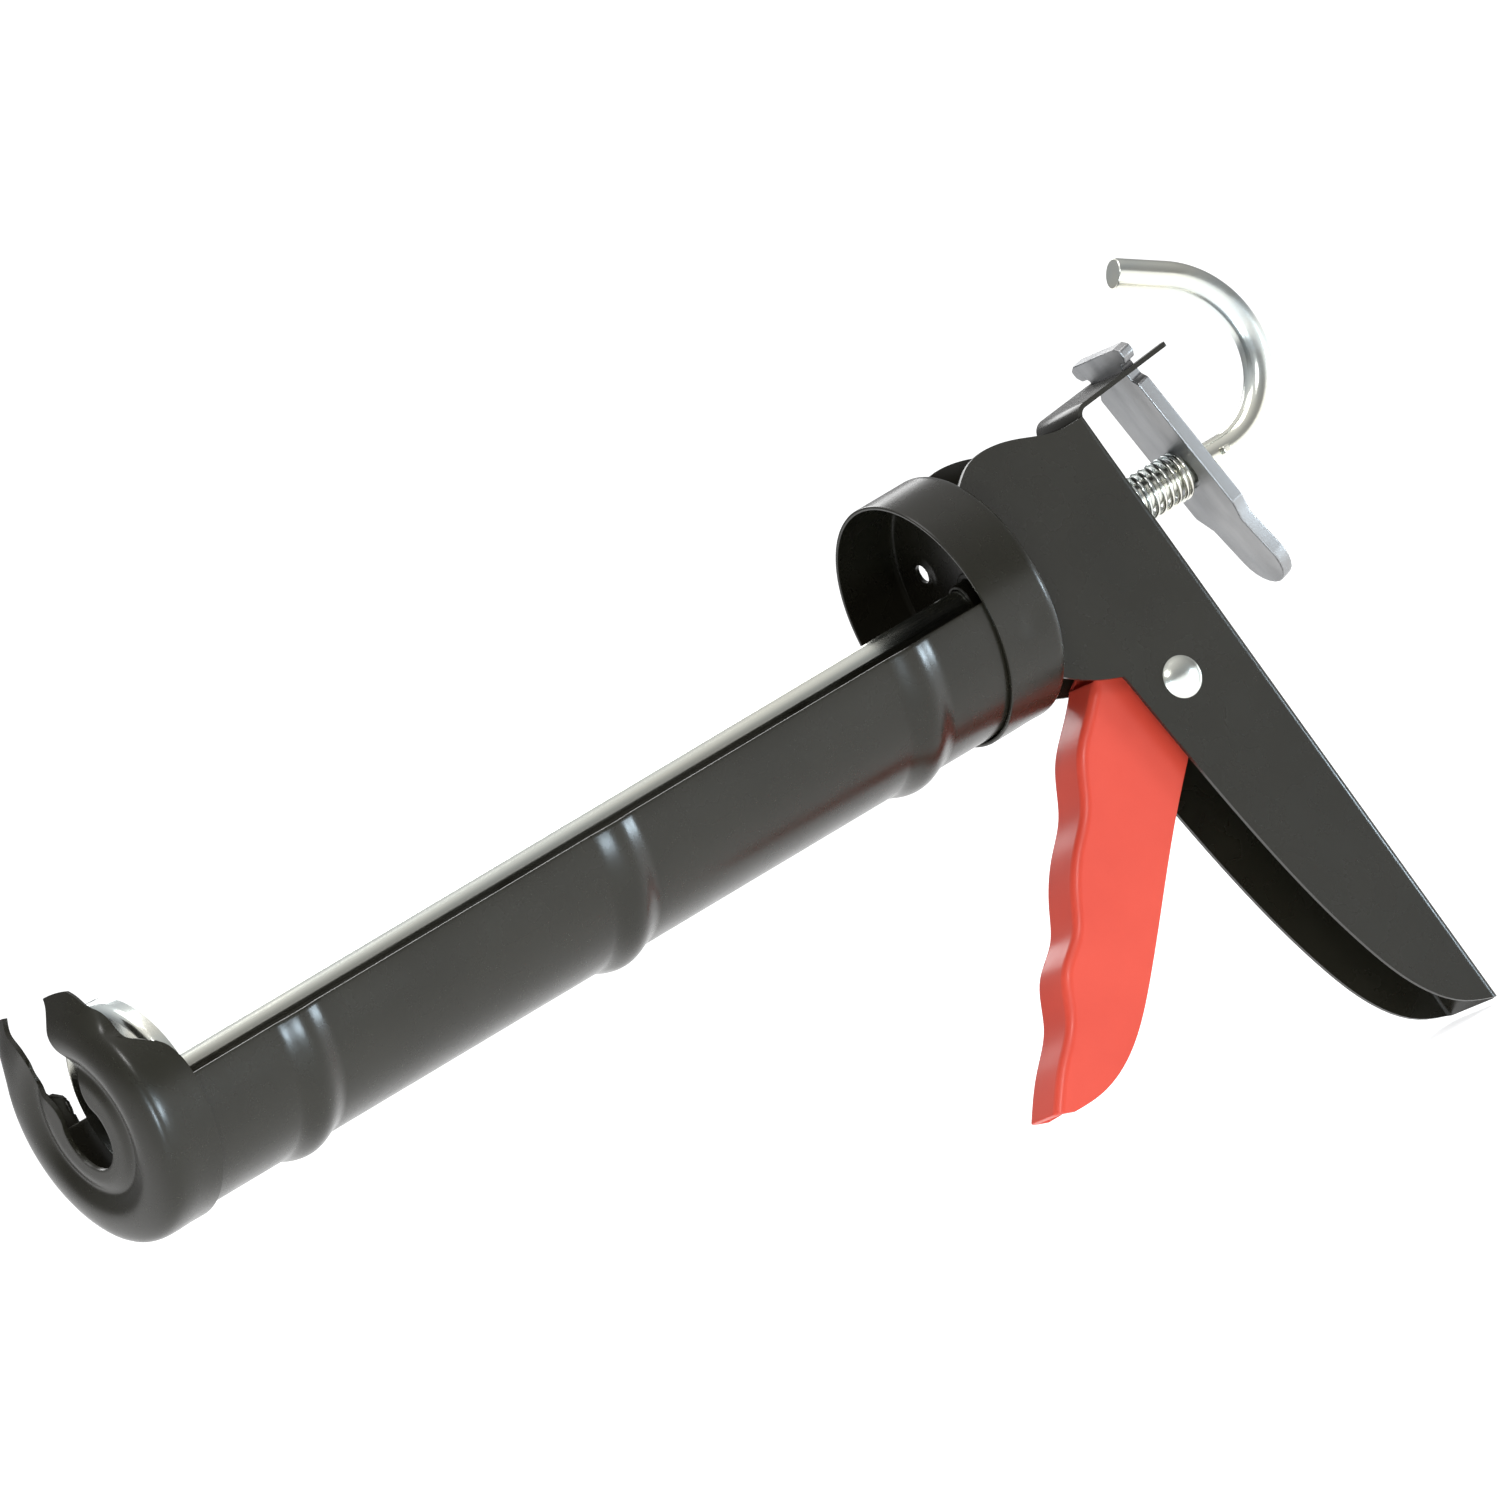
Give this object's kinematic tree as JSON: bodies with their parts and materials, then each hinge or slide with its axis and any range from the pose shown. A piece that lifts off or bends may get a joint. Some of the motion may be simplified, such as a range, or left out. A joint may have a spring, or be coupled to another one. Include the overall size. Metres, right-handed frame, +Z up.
{
  "type": "caulking gun",
  "caption": "Half-barrel caulking gun for 300 ml cartridges: open trough with pressed ribs, slotted front cap, hooked smooth push rod, folded sheet handle, trigger and spring-loaded release plate.",
  "frame": {"origin": "middle of the nozzle slot: where the rod's axis meets the front of the cap", "axes": "+X along the rod towards the hook, +Z up out of the open trough, +Y towards the right side plate as seen from the hook end"},
  "size_m": [0.323, 0.055, 0.1669],
  "materials": {
    "black_paint": "satin black baked paint on pressed sheet steel",
    "red_paint": "satin signal red paint on pressed sheet steel",
    "zinc_plate": "bright zinc plating with faint drawing marks",
    "hardened_steel": "dull zinc-plated hardened sheet with fine scratches",
    "spring_steel": "plated round spring wire"
  },
  "bodies": {
    "frame": {"handle_frame": "black_paint", "front_bracket": "black_paint", "rod_bushing": "zinc_plate", "swivel_washer": "zinc_plate", "pivot_rivet": "zinc_plate", "pivot_spacers": "zinc_plate", "release_spring": "spring_steel", "return_spring": "spring_steel"},
    "barrel": {"barrel_trough": "black_paint", "front_cap": "black_paint", "rear_cup": "black_paint"},
    "trigger": {"trigger": "red_paint"},
    "drive_plates": {"drive_plate_rear": "hardened_steel", "drive_plate_front": "hardened_steel"},
    "release_plate": {"release_plate": "hardened_steel"},
    "piston": {"piston_disc": "zinc_plate", "piston_backer": "zinc_plate"},
    "rod": {"push_rod": "zinc_plate"}
  },
  "joints": [
    {"name": "barrel_turn", "type": "hinge", "parent": "frame", "child": "barrel", "pos_m": [0.2366, 0, 0], "axis": [1, 0, 0], "continuous": true},
    {"name": "trigger_squeeze", "type": "hinge", "parent": "frame", "child": "trigger", "pos_m": [0.2623, 0, -0.0344], "axis": [0, -1, 0], "range_deg": [0, 28], "stiffness_Nm_per_rad": 0.12, "springref_deg": -14.32, "deforming": ["return_spring"]},
    {"name": "drive_slide", "type": "slide", "parent": "frame", "child": "drive_plates", "axis": [-1, 0, 0], "range_m": [0, 0.0142]},
    {"name": "release_press", "type": "hinge", "parent": "frame", "child": "release_plate", "pos_m": [0.2882, 0, 0.024], "axis": [0, 1, 0], "range_deg": [0, 9], "stiffness_Nm_per_rad": 0.6, "springref_deg": -8.59, "deforming": ["release_spring"]},
    {"name": "rod_slide", "type": "slide", "parent": "frame", "child": "piston", "axis": [1, 0, 0], "range_m": [0, 0.205]},
    {"name": "rod_turn", "type": "hinge", "parent": "piston", "child": "rod", "pos_m": [0.014, 0, 0], "axis": [1, 0, 0], "continuous": true}
  ],
  "couplings": [
    {"joint": "drive_slide", "follows": "trigger_squeeze", "m_per_rad": 0.0277}
  ]
}
